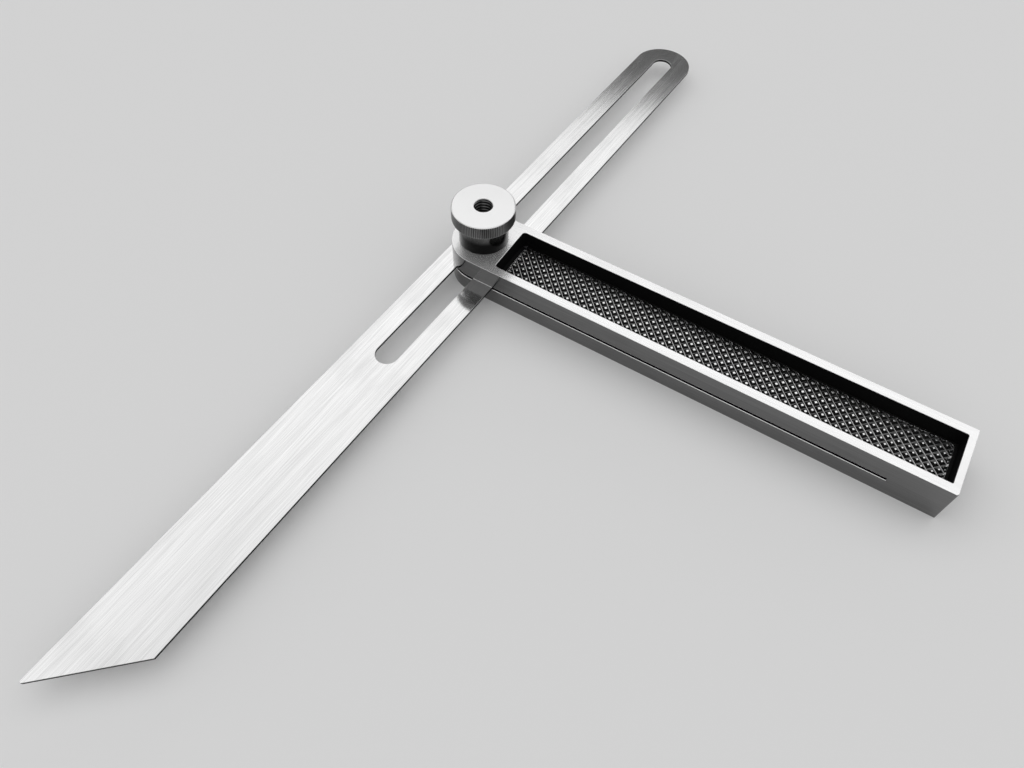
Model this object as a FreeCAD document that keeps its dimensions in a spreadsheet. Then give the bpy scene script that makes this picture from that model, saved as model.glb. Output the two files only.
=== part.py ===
import FreeCAD, Part
import math
import os
import re

import Sketcher
from FreeCAD import Placement, Rotation, Vector

# Adjustable set square: a slotted blade swings and slides in the slit of a stock
# made of two halves, and a knurled nut on a screw clamps it.
# Frame: origin on the screw's axis in the base plane, +X along the stock to its far
# end, +Z up through the nut. At rest the blade lies across the stock.

doc = FreeCAD.newDocument("set_square")

# Driving dimensions: millimetres, degrees and counts
DIMENSIONS = (
    ("stock_length", 140.5, "round end to far end"),
    ("stock_width", 20.0, "across the stock"),
    ("lower_jaw_height", 4.95, "lower half of the stock under the slit"),
    ("upper_jaw_height", 5.85, "upper half of the stock over the slit"),
    ("pivot_reach", 8.6, "screw axis to the tip of the round end"),
    ("solid_end_length", 13.7, "joined part beyond the end of the slit"),
    ("edge_break", 0.25, "chamfer on the stock's outer edges"),
    ("recess_start", 8.3, "screw axis to the near end of a grip recess"),
    ("recess_side_wall", 2.5, "wall beside a grip recess"),
    ("recess_end_wall", 1.8, "wall at the far end of a grip recess"),
    ("upper_web", 0.95, "web between the upper recess and the slit"),
    ("lower_web", 0.5, "web between the lower recess and the slit"),
    ("recess_corner", 0.8, "corner radius of a grip recess near the screw"),
    ("far_corner", 0.35, "corner radius of a grip recess at its far end"),
    ("inlay_gap", 0.1, "gap round a grip inlay"),
    ("inlay_base", 0.15, "plain border of a grip inlay"),
    ("inlay_field", 0.45, "knurled field above the border"),
    ("side_border", 0.5, "border beside the knurled field"),
    ("near_border", 1.2, "border at the knurled field's end near the screw"),
    ("far_border", 0.8, "border at the knurled field's far end"),
    ("blade_length", 264.3, "acute tip to round tail"),
    ("blade_width", 18.6, "across the blade"),
    ("blade_thickness", 0.8, "sheet of the blade"),
    ("tip_angle", 45.0, "between the cut tip and the long edge"),
    ("tip_radius", 0.5, "blunting of the acute tip"),
    ("rest_reach", 147.5, "screw axis to the acute tip at rest"),
    ("rest_angle", 92.1, "between stock and blade at rest"),
    ("blade_gap", 0.05, "gap on each face of the blade in the slit"),
    ("slot_width", 6.4, "across the blade's slot"),
    ("solid_length", 101.1, "acute tip to the slot's nearer end"),
    ("slot_margin", 6.4, "metal between the slot and the tail"),
    ("shank_diameter", 6.0, "plain shank of the screw"),
    ("core_diameter", 4.9, "thread of the screw, drawn at its core"),
    ("engagement", 6.0, "length of thread inside the nut"),
    ("screw_chamfer", 0.4, "end of the thread"),
    ("shoulder_diameter", 8.0, "shoulder that carries the two flats"),
    ("shoulder_gap", 0.1, "shoulder to the upper face of the slit"),
    ("flat_gap", 0.05, "flat to the side of the blade's slot"),
    ("flat_runout", 0.3, "flats below the slit"),
    ("bore_gap", 0.08, "radial gap of shank and shoulder in their bores"),
    ("head_diameter", 12.0, "screw head"),
    ("head_height", 2.0, "screw head, flush with the base"),
    ("head_gap", 0.15, "radial gap round the head"),
    ("head_chamfer", 0.3, "lower edge of the screw head"),
    ("nut_height", 11.6, "foot to top face of the nut"),
    ("rim_diameter", 17.3, "knurled rim"),
    ("rim_thickness", 4.0, "knurled rim"),
    ("rim_chamfer", 0.35, "both edges of the rim"),
    ("boss_diameter", 13.6, "plain boss under the rim"),
    ("boss_chamfer", 0.2, "lower edge of the boss"),
    ("tapped_diameter", 5.0, "tapped hole of the nut, drawn at its core"),
    ("knurl_depth", 0.22, "straight knurl of the rim"),
    ("knurl_teeth", 108, "teeth of the straight knurl"),
    ("overrun", 1.0, "how far a cut runs past the metal"),
)

# Places that follow from the dimensions
PLACES = (
    ("slit_height", "blade_thickness + 2 * blade_gap", "gap for the blade"),
    ("slit_top", "lower_jaw_height + slit_height", "upper face of the slit"),
    ("stock_height", "slit_top + upper_jaw_height", "top of the stock"),
    ("half_width", "stock_width / 2", "screw axis to a long side"),
    ("far_end", "stock_length - pivot_reach", "screw axis to the far end"),
    ("slit_end", "far_end - solid_end_length", "screw axis to the slit's end"),
    ("round_centre", "half_width - pivot_reach", "centre of the round end"),
    ("recess_end", "far_end - recess_end_wall", "screw axis to a recess's far end"),
    ("recess_half", "half_width - recess_side_wall", "half a recess's width"),
    ("upper_depth", "upper_jaw_height - upper_web", "top to the upper recess's floor"),
    ("lower_depth", "lower_jaw_height - lower_web", "base to the lower recess's roof"),
    ("blade_half", "blade_width / 2", "half the blade's width"),
    ("tail_end", "rest_reach - blade_length", "screw axis to the blade's tail"),
    ("tip_shoulder", "rest_reach - blade_width / tan(tip_angle * 1deg)", "obtuse corner"),
    ("slot_half", "slot_width / 2", "half the slot's width"),
    ("slot_tail", "tail_end + slot_margin + slot_half", "centre of the slot's tail end"),
    ("slot_tip", "rest_reach - solid_length - slot_half", "centre of the slot's tip end"),
    ("shoulder_top", "slit_top - shoulder_gap", "top of the screw's shoulder"),
    ("flat_half", "slot_half - flat_gap", "half the width across the flats"),
    ("flat_start", "lower_jaw_height - flat_runout", "lower end of the flats"),
    ("screw_end", "stock_height + engagement", "end of the screw's thread"),
    ("rim_base", "nut_height - rim_thickness", "underside of the rim"),
)

SHEET_OF = {name: "sizes" for name, _value, _words in DIMENSIONS}
SHEET_OF.update({name: "places" for name, _value, _words in PLACES})


def tied(expression, within=""):
    """An expression with each name led by its sheet, unless it is written within it."""
    def led(word):
        sheet = SHEET_OF.get(word[0], within)
        return word[0] if sheet == within else f"{sheet}.{word[0]}"
    return re.sub(r"[a-z]\w+", led, expression)


def fill_sheet(name, rows, formula=""):
    """A sheet with one row for each named value, led by the mark of a formula or none."""
    sheet = doc.addObject("Spreadsheet::Sheet", name)
    for row, (alias, content, words) in enumerate(rows, start=1):
        sheet.set(f"A{row}", words)
        sheet.set(f"B{row}", formula + tied(str(content), name))
        sheet.setAlias(f"B{row}", alias)
    doc.recompute()
    return sheet


SHEETS = {"sizes": fill_sheet("sizes", DIMENSIONS)}
SHEETS["places"] = fill_sheet("places", PLACES, formula="=")


def value(name):
    """The number that a sheet holds under a name."""
    return float(SHEETS[SHEET_OF[name]].get(name))


def bind(thing, **expressions):
    """Tie properties to named values; a double underscore stands for a dot."""
    for path, expression in expressions.items():
        thing.setExpression(path.replace("__", "."), tied(expression))


def new_body(name):
    """A body whose label is its node's name."""
    body = doc.addObject("PartDesign::Body", name)
    body.Label = name
    return body


def new_sketch(body, name, plane="XY_Plane", level="0"):
    """A sketch on one of its body's own planes, raised to a level."""
    sketch = body.newObject("Sketcher::SketchObject", name)
    face = next(feature for feature in body.Origin.OriginFeatures if feature.Role == plane)
    sketch.AttachmentSupport = [(face, "")]
    sketch.MapMode = "FlatFace"
    bind(sketch, AttachmentOffset__Base__z=level)
    return sketch


def measure(sketch, expression):
    """The number that an expression gives."""
    result = sketch.evalExpression(tied(expression))
    return float(getattr(result, "Value", result))


def drive(sketch, kind, *references, by):
    """Add a dimension that an expression drives."""
    index = sketch.addConstraint(Sketcher.Constraint(kind, *references, measure(sketch, by)))
    name = f"driven_{index}"
    sketch.renameConstraint(index, name)
    bind(sketch, **{f"Constraints__{name}": by})


def fix(sketch, edge, end, x, y):
    """Drive a point's two distances from the sketch's origin."""
    drive(sketch, "DistanceX", -1, 1, edge, end, by=x)
    drive(sketch, "DistanceY", -1, 1, edge, end, by=y)


def point(sketch, x, y):
    """A point at two expressions."""
    return Vector(measure(sketch, x), measure(sketch, y), 0)


def polygon(sketch, *corners):
    """A closed run of straight lines through corners, each a pair of expressions."""
    spots = [point(sketch, x, y) for x, y in corners]
    count = len(spots)
    first = sketch.GeometryCount
    for index, spot in enumerate(spots):
        sketch.addGeometry(Part.LineSegment(spot, spots[(index + 1) % count]))
    for index, (x, y) in enumerate(corners):
        after = first + (index + 1) % count
        sketch.addConstraint(Sketcher.Constraint("Coincident", first + index, 2, after, 1))
        fix(sketch, first + index, 1, x, y)


def rectangle(sketch, left, right, low, high):
    """A rectangle between four expressions."""
    polygon(sketch, (left, low), (right, low), (right, high), (left, high))


def circle(sketch, x, y, radius):
    """A circle at two expressions, with a radius."""
    place = point(sketch, x, y)
    edge = sketch.addGeometry(Part.Circle(place, Vector(0, 0, 1), measure(sketch, radius)))
    fix(sketch, edge, 3, x, y)
    drive(sketch, "Radius", edge, by=radius)


def round_end(sketch, centre, half, start, finish):
    """A half circle about a point of the sketch's X axis, from one angle to another."""
    whole = Part.Circle(point(sketch, centre, "0"), Vector(0, 0, 1), measure(sketch, half))
    edge = sketch.addGeometry(Part.ArcOfCircle(whole, start, finish))
    fix(sketch, edge, 3, centre, "0")
    drive(sketch, "Radius", edge, by=half)
    return edge


def line(sketch, start, finish):
    """A straight line between two points given as pairs of expressions."""
    return sketch.addGeometry(Part.LineSegment(point(sketch, *start), point(sketch, *finish)))


def tongue(sketch, centre, half, low_tip, high_tip):
    """A strip with a half circle at its low X end and a straight cut at the other."""
    below = line(sketch, (centre, f"-{half}"), (low_tip, f"-{half}"))
    cut = line(sketch, (low_tip, f"-{half}"), (high_tip, half))
    above = line(sketch, (high_tip, half), (centre, half))
    end = round_end(sketch, centre, half, math.pi / 2, 3 * math.pi / 2)
    for constraint in (
        ("Coincident", below, 2, cut, 1),
        ("Coincident", cut, 2, above, 1),
        ("Tangent", above, 2, end, 1),
        ("Tangent", end, 2, below, 1),
        ("Horizontal", below),
        ("Horizontal", above),
    ):
        sketch.addConstraint(Sketcher.Constraint(*constraint))
    drive(sketch, "DistanceX", -1, 1, cut, 1, by=low_tip)
    drive(sketch, "DistanceX", -1, 1, cut, 2, by=high_tip)


def capsule(sketch, left, right, half):
    """A slot with a half circle at each end."""
    below = line(sketch, (left, f"-{half}"), (right, f"-{half}"))
    above = line(sketch, (right, half), (left, half))
    far = round_end(sketch, right, half, -math.pi / 2, math.pi / 2)
    near = round_end(sketch, left, half, math.pi / 2, 3 * math.pi / 2)
    for constraint in (
        ("Tangent", below, 2, far, 1),
        ("Tangent", far, 2, above, 1),
        ("Tangent", above, 2, near, 1),
        ("Tangent", near, 2, below, 1),
    ):
        sketch.addConstraint(Sketcher.Constraint(*constraint))


def pad(body, sketch, length):
    """Raise a sketch by a length."""
    feature = body.newObject("PartDesign::Pad", f"{sketch.Name}_pad")
    feature.Profile = sketch
    bind(feature, Length=length)
    doc.recompute()
    return feature


def pocket(body, sketch, length):
    """Cut a sketch upwards by a length, and see that metal went."""
    before = body.Shape.Volume
    feature = body.newObject("PartDesign::Pocket", f"{sketch.Name}_cut")
    feature.Profile = sketch
    feature.Reversed = True
    bind(feature, Length=length)
    doc.recompute()
    if body.Shape.Volume >= before:
        raise RuntimeError(f"{feature.Name} removed nothing")
    return feature


def dress(body, kind, amount, chosen):
    """Round or chamfer the body's edges that a test chooses."""
    base = body.Tip
    names = [f"Edge{n}" for n, edge in enumerate(base.Shape.Edges, start=1) if chosen(edge)]
    feature = body.newObject(f"PartDesign::{kind}", f"{base.Name}_{kind.lower()}")
    feature.Base = (base, names)
    bind(feature, **{"Radius" if kind == "Fillet" else "Size": amount})
    doc.recompute()
    return feature


def near(first, second):
    """Whether two lengths agree to a thousandth of the edge break."""
    return abs(first - second) < value("edge_break") / 1000


def upright_at(*spots):
    """A test for upright edges at any of some X and Y places."""
    def chosen(edge):
        ends = [(vertex.X, vertex.Y) for vertex in edge.Vertexes]
        if len(ends) < 2 or near(edge.Vertexes[0].Z, edge.Vertexes[1].Z):
            return False
        return any(all(near(x, u) and near(y, v) for x, y in ends) for u, v in spots)
    return chosen


def stock_outline_at(level):
    """A test for the stock's outer edges at a level."""
    half = value("half_width")

    def outside(spot):
        on_side = near(abs(spot.y), half) or near(spot.x, value("far_end"))
        run = math.hypot(spot.x - value("round_centre"), spot.y)
        return on_side or (spot.x <= value("round_centre") and near(run, half))

    def chosen(edge):
        middle = edge.valueAt((edge.FirstParameter + edge.LastParameter) / 2)
        flat = all(near(vertex.Z, level) for vertex in edge.Vertexes)
        return flat and near(middle.z, level) and outside(middle)
    return chosen


def jaw_outline(body, level, height):
    """The plan of the stock, raised from a level."""
    sketch = new_sketch(body, f"{body.Name}_outline", level=level)
    tongue(sketch, "round_centre", "half_width", "far_end", "far_end")
    return pad(body, sketch, height)


def round_corners(body, left, right, half, inset):
    """Round a recess's or an inlay's upright corners, each radius less an inset."""
    for along, radius in ((left, "recess_corner"), (right, "far_corner")):
        corners = upright_at((along, -half), (along, half))
        dress(body, "Fillet", f"{radius} - {inset}", corners)


def grip_recess(body, level, depth):
    """Cut the grip recess from a level, with its round corners."""
    sketch = new_sketch(body, f"{body.Name}_recess", level=level)
    rectangle(sketch, "recess_start", "recess_end", "-recess_half", "recess_half")
    pocket(body, sketch, depth)
    round_corners(body, value("recess_start"), value("recess_end"), value("recess_half"), "0")


def round_hole(body, name, level, radius, length):
    """Cut a round hole on the screw's axis upwards from a level."""
    sketch = new_sketch(body, f"{body.Name}_{name}", level=level)
    circle(sketch, "0", "0", radius)
    pocket(body, sketch, length)


def make_upper_jaw():
    """The upper half of the stock, stepped by the height of the slit."""
    body = new_body("upper_jaw")
    jaw_outline(body, "lower_jaw_height", "stock_height - lower_jaw_height")
    step = new_sketch(body, "upper_jaw_slit", level="lower_jaw_height")
    rectangle(step, "-pivot_reach - overrun", "slit_end",
              "-half_width - overrun", "half_width + overrun")
    pocket(body, step, "slit_height")
    grip_recess(body, "slit_top + upper_web", "upper_depth")
    round_hole(body, "bore", "lower_jaw_height", "shank_diameter / 2 + bore_gap",
               "stock_height - lower_jaw_height")
    dress(body, "Chamfer", "edge_break", stock_outline_at(value("stock_height")))
    return body


def make_lower_jaw():
    """The lower half of the stock, with the seat of the screw's head."""
    body = new_body("lower_jaw")
    jaw_outline(body, "0", "lower_jaw_height")
    grip_recess(body, "0", "lower_depth")
    round_hole(body, "bore", "0", "shoulder_diameter / 2 + bore_gap", "lower_jaw_height")
    round_hole(body, "seat", "0", "head_diameter / 2 + head_gap", "head_height")
    dress(body, "Chamfer", "edge_break", stock_outline_at(0))
    return body


def make_inlay(name):
    """A grip inlay, its knurled field upwards and its underside on the body's base."""
    body = new_body(name)
    plate = new_sketch(body, f"{name}_plate")
    rectangle(plate, "recess_start + inlay_gap", "recess_end - inlay_gap",
              "-recess_half + inlay_gap", "recess_half - inlay_gap")
    pad(body, plate, "inlay_base")
    gap = value("inlay_gap")
    round_corners(body, value("recess_start") + gap, value("recess_end") - gap,
                  value("recess_half") - gap, "inlay_gap")
    field = new_sketch(body, f"{name}_field", level="inlay_base")
    rectangle(field, "recess_start + inlay_gap + near_border",
              "recess_end - inlay_gap - far_border",
              "-recess_half + inlay_gap + side_border",
              "recess_half - inlay_gap - side_border")
    pad(body, field, "inlay_field")
    return body


def make_top_inlay():
    """The inlay on the floor of the upper recess."""
    body = make_inlay("top_grip_inlay")
    bind(body, Placement__Base__z="slit_top + upper_web")
    return body


def make_bottom_inlay():
    """The same inlay, turned over about the stock's length, in the lower recess."""
    body = make_inlay("bottom_grip_inlay")
    body.Placement = Placement(Vector(), Rotation(Vector(1, 0, 0), 180))
    bind(body, Placement__Base__z="lower_depth")
    return body


def turn_to_rest(body):
    """Turn a body drawn along +X to the blade's direction at rest."""
    body.Placement = Placement(Vector(), Rotation(Vector(0, 0, -1), value("rest_angle")))
    bind(body, Placement__Rotation__Angle="rest_angle")


def make_blade():
    """The slotted blade, drawn with its acute tip towards +X and turned to rest."""
    body = new_body("blade")
    outline = new_sketch(body, "blade_outline", level="lower_jaw_height + blade_gap")
    tongue(outline, "tail_end + blade_half", "blade_half", "rest_reach", "tip_shoulder")
    pad(body, outline, "blade_thickness")
    slot = new_sketch(body, "blade_slot", level="lower_jaw_height + blade_gap")
    capsule(slot, "slot_tail", "slot_tip", "slot_half")
    pocket(body, slot, "blade_thickness")
    dress(body, "Fillet", "tip_radius", upright_at((value("rest_reach"), -value("blade_half"))))
    turn_to_rest(body)
    return body


def turned(body, name, profile):
    """A solid of revolution about Z, from a profile of radius and height."""
    sketch = new_sketch(body, f"{name}_profile", plane="XZ_Plane")
    polygon(sketch, *profile)
    feature = body.newObject("PartDesign::Revolution", f"{name}_turned")
    feature.Profile = sketch
    feature.ReferenceAxis = (sketch, ["V_Axis"])
    feature.Angle = 360
    doc.recompute()
    return feature


def make_screw():
    """The clamp screw: flush head, shoulder with two flats, shank and thread."""
    body = new_body("clamp_screw")
    turned(body, "clamp_screw", (
        ("0", "0"),
        ("head_diameter / 2 - head_chamfer", "0"),
        ("head_diameter / 2", "head_chamfer"),
        ("head_diameter / 2", "head_height"),
        ("shoulder_diameter / 2", "head_height"),
        ("shoulder_diameter / 2", "shoulder_top"),
        ("shank_diameter / 2", "shoulder_top"),
        ("shank_diameter / 2", "stock_height"),
        ("core_diameter / 2", "stock_height"),
        ("core_diameter / 2", "screw_end - screw_chamfer"),
        ("core_diameter / 2 - screw_chamfer", "screw_end"),
        ("0", "screw_end"),
    ))
    flats = new_sketch(body, "clamp_screw_flats", level="flat_start")
    reach = "shoulder_diameter / 2 + overrun"
    for low, high in (("flat_half", reach), (f"-({reach})", "-flat_half")):
        rectangle(flats, f"-({reach})", reach, low, high)
    pocket(body, flats, "shoulder_top - flat_start")
    turn_to_rest(body)
    return body


def make_turned_nut():
    """The nut before knurling: rim, plain boss and tapped hole."""
    body = new_body("turned_nut")
    turned(body, "turned_nut", (
        ("tapped_diameter / 2", "0"),
        ("boss_diameter / 2 - boss_chamfer", "0"),
        ("boss_diameter / 2", "boss_chamfer"),
        ("boss_diameter / 2", "rim_base"),
        ("rim_diameter / 2 - rim_chamfer", "rim_base"),
        ("rim_diameter / 2", "rim_base + rim_chamfer"),
        ("rim_diameter / 2", "nut_height - rim_chamfer"),
        ("rim_diameter / 2 - rim_chamfer", "nut_height"),
        ("tapped_diameter / 2", "nut_height"),
    ))
    return body


def make_knurl():
    """A toothed prism as high as the nut, from a formula for its teeth."""
    teeth = round(value("knurl_teeth"))
    crest = value("rim_diameter") / 2
    radii = (crest, crest - value("knurl_depth"))
    spots = []
    for step in range(2 * teeth):
        angle = math.pi * step / teeth
        radius = radii[step % 2]
        spots.append(Vector(radius * math.cos(angle), radius * math.sin(angle), 0))
    outline = Part.makePolygon(spots + spots[:1])
    overrun = value("overrun")
    height = Vector(0, 0, value("nut_height") + 2 * overrun)
    prism = doc.addObject("Part::Feature", "knurl_prism")
    prism.Shape = Part.Face(outline).extrude(height)
    prism.Placement = Placement(Vector(0, 0, -overrun), Rotation())
    return prism


def make_nut():
    """The thumb nut: the turned nut with its rim knurled, standing on the stock."""
    nut = doc.addObject("Part::Common", "thumb_nut")
    nut.Label = "thumb_nut"
    nut.Base = make_turned_nut()
    nut.Tool = make_knurl()
    bind(nut, Placement__Base__z="stock_height")
    doc.recompute()
    return nut


def check_document():
    """Stop where an object of the document failed to build."""
    for thing in doc.Objects:
        if {"Invalid", "Error"} & set(thing.State):
            raise RuntimeError(f"{thing.Name} failed to build: {thing.State}")


def check_part(thing):
    """Stop where a sub-part is missing, broken or in more than one piece."""
    shape = thing.Shape
    if shape.isNull() or not shape.isValid() or len(shape.Solids) != 1:
        raise RuntimeError(f"{thing.Label} has no single valid solid")


parts = [
    make_upper_jaw(),
    make_lower_jaw(),
    make_top_inlay(),
    make_bottom_inlay(),
    make_blade(),
    make_screw(),
    make_nut(),
]
doc.recompute()
check_document()
for part in parts:
    check_part(part)
os.makedirs("parts", exist_ok=True)
for part in parts:
    part.Shape.exportStep(f"parts/{part.Label}.step")
    box = part.Shape.BoundBox
    print(f"{part.Label}: {part.Shape.Volume:.1f} mm3, {len(part.Shape.Faces)} faces, "
          f"x {box.XMin:.2f} to {box.XMax:.2f}, y {box.YMin:.2f} to {box.YMax:.2f}, "
          f"z {box.ZMin:.2f} to {box.ZMax:.2f}")
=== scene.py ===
"""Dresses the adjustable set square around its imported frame.

The stock's two jaws, its knurled grip inlays, the slotted blade and the thumb nut are
modelled here in metres, in the frame's own axes. The clamp screw keeps its frame node.
"""
import logging
import math
from collections.abc import Callable, Iterable, Sequence
from dataclasses import dataclass
from enum import Enum, IntEnum

import bmesh
import bpy
from bmesh.types import BMEdge, BMFace, BMVert
from bpy.types import ColorRamp, Material, Node, NodeSocket, NodeTree
from mathutils import Matrix, Vector


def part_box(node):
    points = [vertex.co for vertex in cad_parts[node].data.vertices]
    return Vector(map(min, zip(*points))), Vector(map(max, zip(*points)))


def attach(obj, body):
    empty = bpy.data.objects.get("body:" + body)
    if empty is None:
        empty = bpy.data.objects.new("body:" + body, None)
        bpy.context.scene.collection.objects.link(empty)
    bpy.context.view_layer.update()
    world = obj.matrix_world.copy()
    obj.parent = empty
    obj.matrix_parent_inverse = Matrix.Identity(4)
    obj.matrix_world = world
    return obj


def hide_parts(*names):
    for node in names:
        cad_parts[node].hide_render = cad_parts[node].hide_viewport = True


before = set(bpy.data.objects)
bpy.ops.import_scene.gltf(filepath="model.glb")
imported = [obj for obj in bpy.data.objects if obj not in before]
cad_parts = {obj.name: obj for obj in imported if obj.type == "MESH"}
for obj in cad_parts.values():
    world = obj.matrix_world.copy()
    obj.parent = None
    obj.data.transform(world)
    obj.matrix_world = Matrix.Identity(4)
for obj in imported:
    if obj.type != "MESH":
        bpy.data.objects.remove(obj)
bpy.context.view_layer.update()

logging.basicConfig(level=logging.INFO, format="%(message)s")
LOG = logging.getLogger("set_square")

Pair = tuple[float, float]
Triple = tuple[float, float, float]

MM = 0.001
TINY = 0.002 * MM
SLACK = 0.02 * MM
SHARP_ANGLE = math.radians(35)
SAME_AREA = 0.001 * MM * MM
FLAT_ANGLE = 0.01
FLAT_WEIGHT = 90
EASE_STEPS = 3
NOISE_MIDDLE = 0.5

# Bounds on the size of a face normal's Z
LEVEL = 0.9999
STEEP = 0.5
SLANT = (0.1, 0.99)


class Signal:
    """A shader socket that takes part in sums written as Python expressions."""

    def __init__(self, socket: NodeSocket) -> None:
        """Wrap a node's output socket."""
        self.socket = socket

    def _sum(self, operation: str, first: "Value", second: "Value") -> "Signal":
        """Add a Math node for one operation on two values.

        Args:
            operation: The Math node's operation.
            first: The first value or signal.
            second: The second value or signal.

        Returns:
            The node's result.
        """
        tree = self.socket.id_data
        node = tree.nodes.new("ShaderNodeMath")
        node.operation = operation
        for socket, part in zip(node.inputs, (first, second)):
            feed(socket, part)
        return Signal(node.outputs[0])

    def __add__(self, other: "Value") -> "Signal":
        """This signal plus another value."""
        return self._sum("ADD", self, other)

    def __sub__(self, other: "Value") -> "Signal":
        """This signal less another value."""
        return self._sum("SUBTRACT", self, other)

    def __rsub__(self, other: "Value") -> "Signal":
        """Another value less this signal."""
        return self._sum("SUBTRACT", other, self)

    def __mul__(self, other: "Value") -> "Signal":
        """This signal times another value."""
        return self._sum("MULTIPLY", self, other)

    def __truediv__(self, other: "Value") -> "Signal":
        """This signal divided by another value."""
        return self._sum("DIVIDE", self, other)

    __radd__ = __add__


Value = Signal | float | Sequence[float]


def feed(socket: NodeSocket, value: Value) -> None:
    """Link a signal to a socket, or set the socket's own value.

    Args:
        socket: The input socket.
        value: A signal, a number or a run of numbers.
    """
    if isinstance(value, Signal):
        socket.id_data.links.new(value.socket, socket)
    else:
        socket.default_value = value


def grey(level: float) -> tuple[float, float, float, float]:
    """A neutral colour of one linear level."""
    return (level, level, level, 1.0)


class Shading:
    """The node tree of one material or of the world, built by one method."""

    def __init__(self, tree: NodeTree) -> None:
        """Start from an empty tree."""
        self.tree = tree
        tree.nodes.clear()

    def node(self, kind: str, settings: dict | None = None, output: str | int = 0,
             **sockets: Value) -> Signal:
        """Add a node.

        Args:
            kind: The node's type after ShaderNode.
            settings: Properties to set first, such as an operation or a ramp's stops.
            output: The output wanted.
            **sockets: Values or signals by socket name; an underscore is a space.

        Returns:
            The chosen output.
        """
        node = self.tree.nodes.new(f"ShaderNode{kind}")
        for name, setting in (settings or {}).items():
            if name == "stops":
                self._set_stops(node.color_ramp, setting)
            else:
                setattr(node, name, setting)
        for name, value in sockets.items():
            feed(self._input(node, name), value)
        return Signal(node.outputs[output]) if len(node.outputs) else Signal(node.inputs[0])

    @staticmethod
    def _set_stops(ramp: ColorRamp, stops: Sequence[Pair]) -> None:
        """Give a ramp its stops.

        Args:
            ramp: The ramp.
            stops: Each stop's position and grey level.
        """
        while len(ramp.elements) < len(stops):
            ramp.elements.new(1.0)
        for element, (position, level) in zip(ramp.elements, stops):
            element.position = position
            element.color = grey(level)

    @staticmethod
    def _input(node: Node, name: str) -> NodeSocket:
        """Find an input by its identifier, else by its name."""
        identified = {socket.identifier: socket for socket in node.inputs}
        return identified.get(name) or node.inputs[name.replace("_", " ")]

    def mix(self, share: Value, low: Value, high: Value) -> Signal:
        """Blend two colours by a share."""
        return self.node("Mix", {"data_type": "RGBA"}, 2, Factor_Float=share,
                         A_Color=low, B_Color=high)

    def scaled_place(self, scale: Sequence[float], turn: float = 0.0) -> Signal:
        """Object coordinates, turned about Z and scaled.

        Args:
            scale: Repeats in a metre along each axis.
            turn: Angle from +X to the direction that becomes the pattern's own X.

        Returns:
            The mapped vector.
        """
        place = self.node("TexCoord", output="Object")
        turned = self.node("Mapping", Vector=place, Rotation=(0.0, 0.0, -turn))
        return self.node("Mapping", Vector=turned, Scale=scale)

    def noise(self, vector: Signal, detail: float, rough: float) -> Signal:
        """Smooth noise about a half, one repeat in each unit of the vector."""
        return self.node("TexNoise", output="Fac", Vector=vector, Scale=1.0,
                         Detail=detail, Roughness=rough)

    def cloud(self, size: float, detail: float, rough: float, turn: float = 0.0) -> Signal:
        """Noise in blotches of one size."""
        return self.noise(self.scaled_place((1 / size,) * 3, turn), detail, rough)

    def rise(self, value: Signal, reach: Pair) -> Signal:
        """A smooth step from nought at a reach's start to one at its end."""
        return self.node("MapRange", {"interpolation_type": "SMOOTHSTEP"}, Value=value,
                         From_Min=reach[0], From_Max=reach[1])


def steel_shader(shading: Shading, colour: Value, roughness: Value, normal: Signal,
                 metallic: float = 1.0, gloss: float = 0.5) -> None:
    """End a material in a metal surface.

    Args:
        shading: The tree being built.
        colour: Base colour.
        roughness: Roughness.
        normal: Bumped normal.
        metallic: Metallic share.
        gloss: Strength of the gloss where the surface isn't metallic.
    """
    surface = shading.node("BsdfPrincipled", Base_Color=colour, Roughness=roughness,
                           Metallic=metallic, Normal=normal, Specular_IOR_Level=gloss)
    shading.node("OutputMaterial", Surface=surface)


def new_material(name: str) -> tuple[Material, Shading]:
    """Make a material with an empty tree.

    Args:
        name: Its name.

    Returns:
        The material and its tree.
    """
    material = bpy.data.materials.new(name)
    material.use_nodes = True
    return material, Shading(material.node_tree)


def at_height(level: float, *spots: Vector) -> bool:
    """Whether points all lie at a height."""
    return all(abs(spot.z - level) < TINY for spot in spots)


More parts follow.
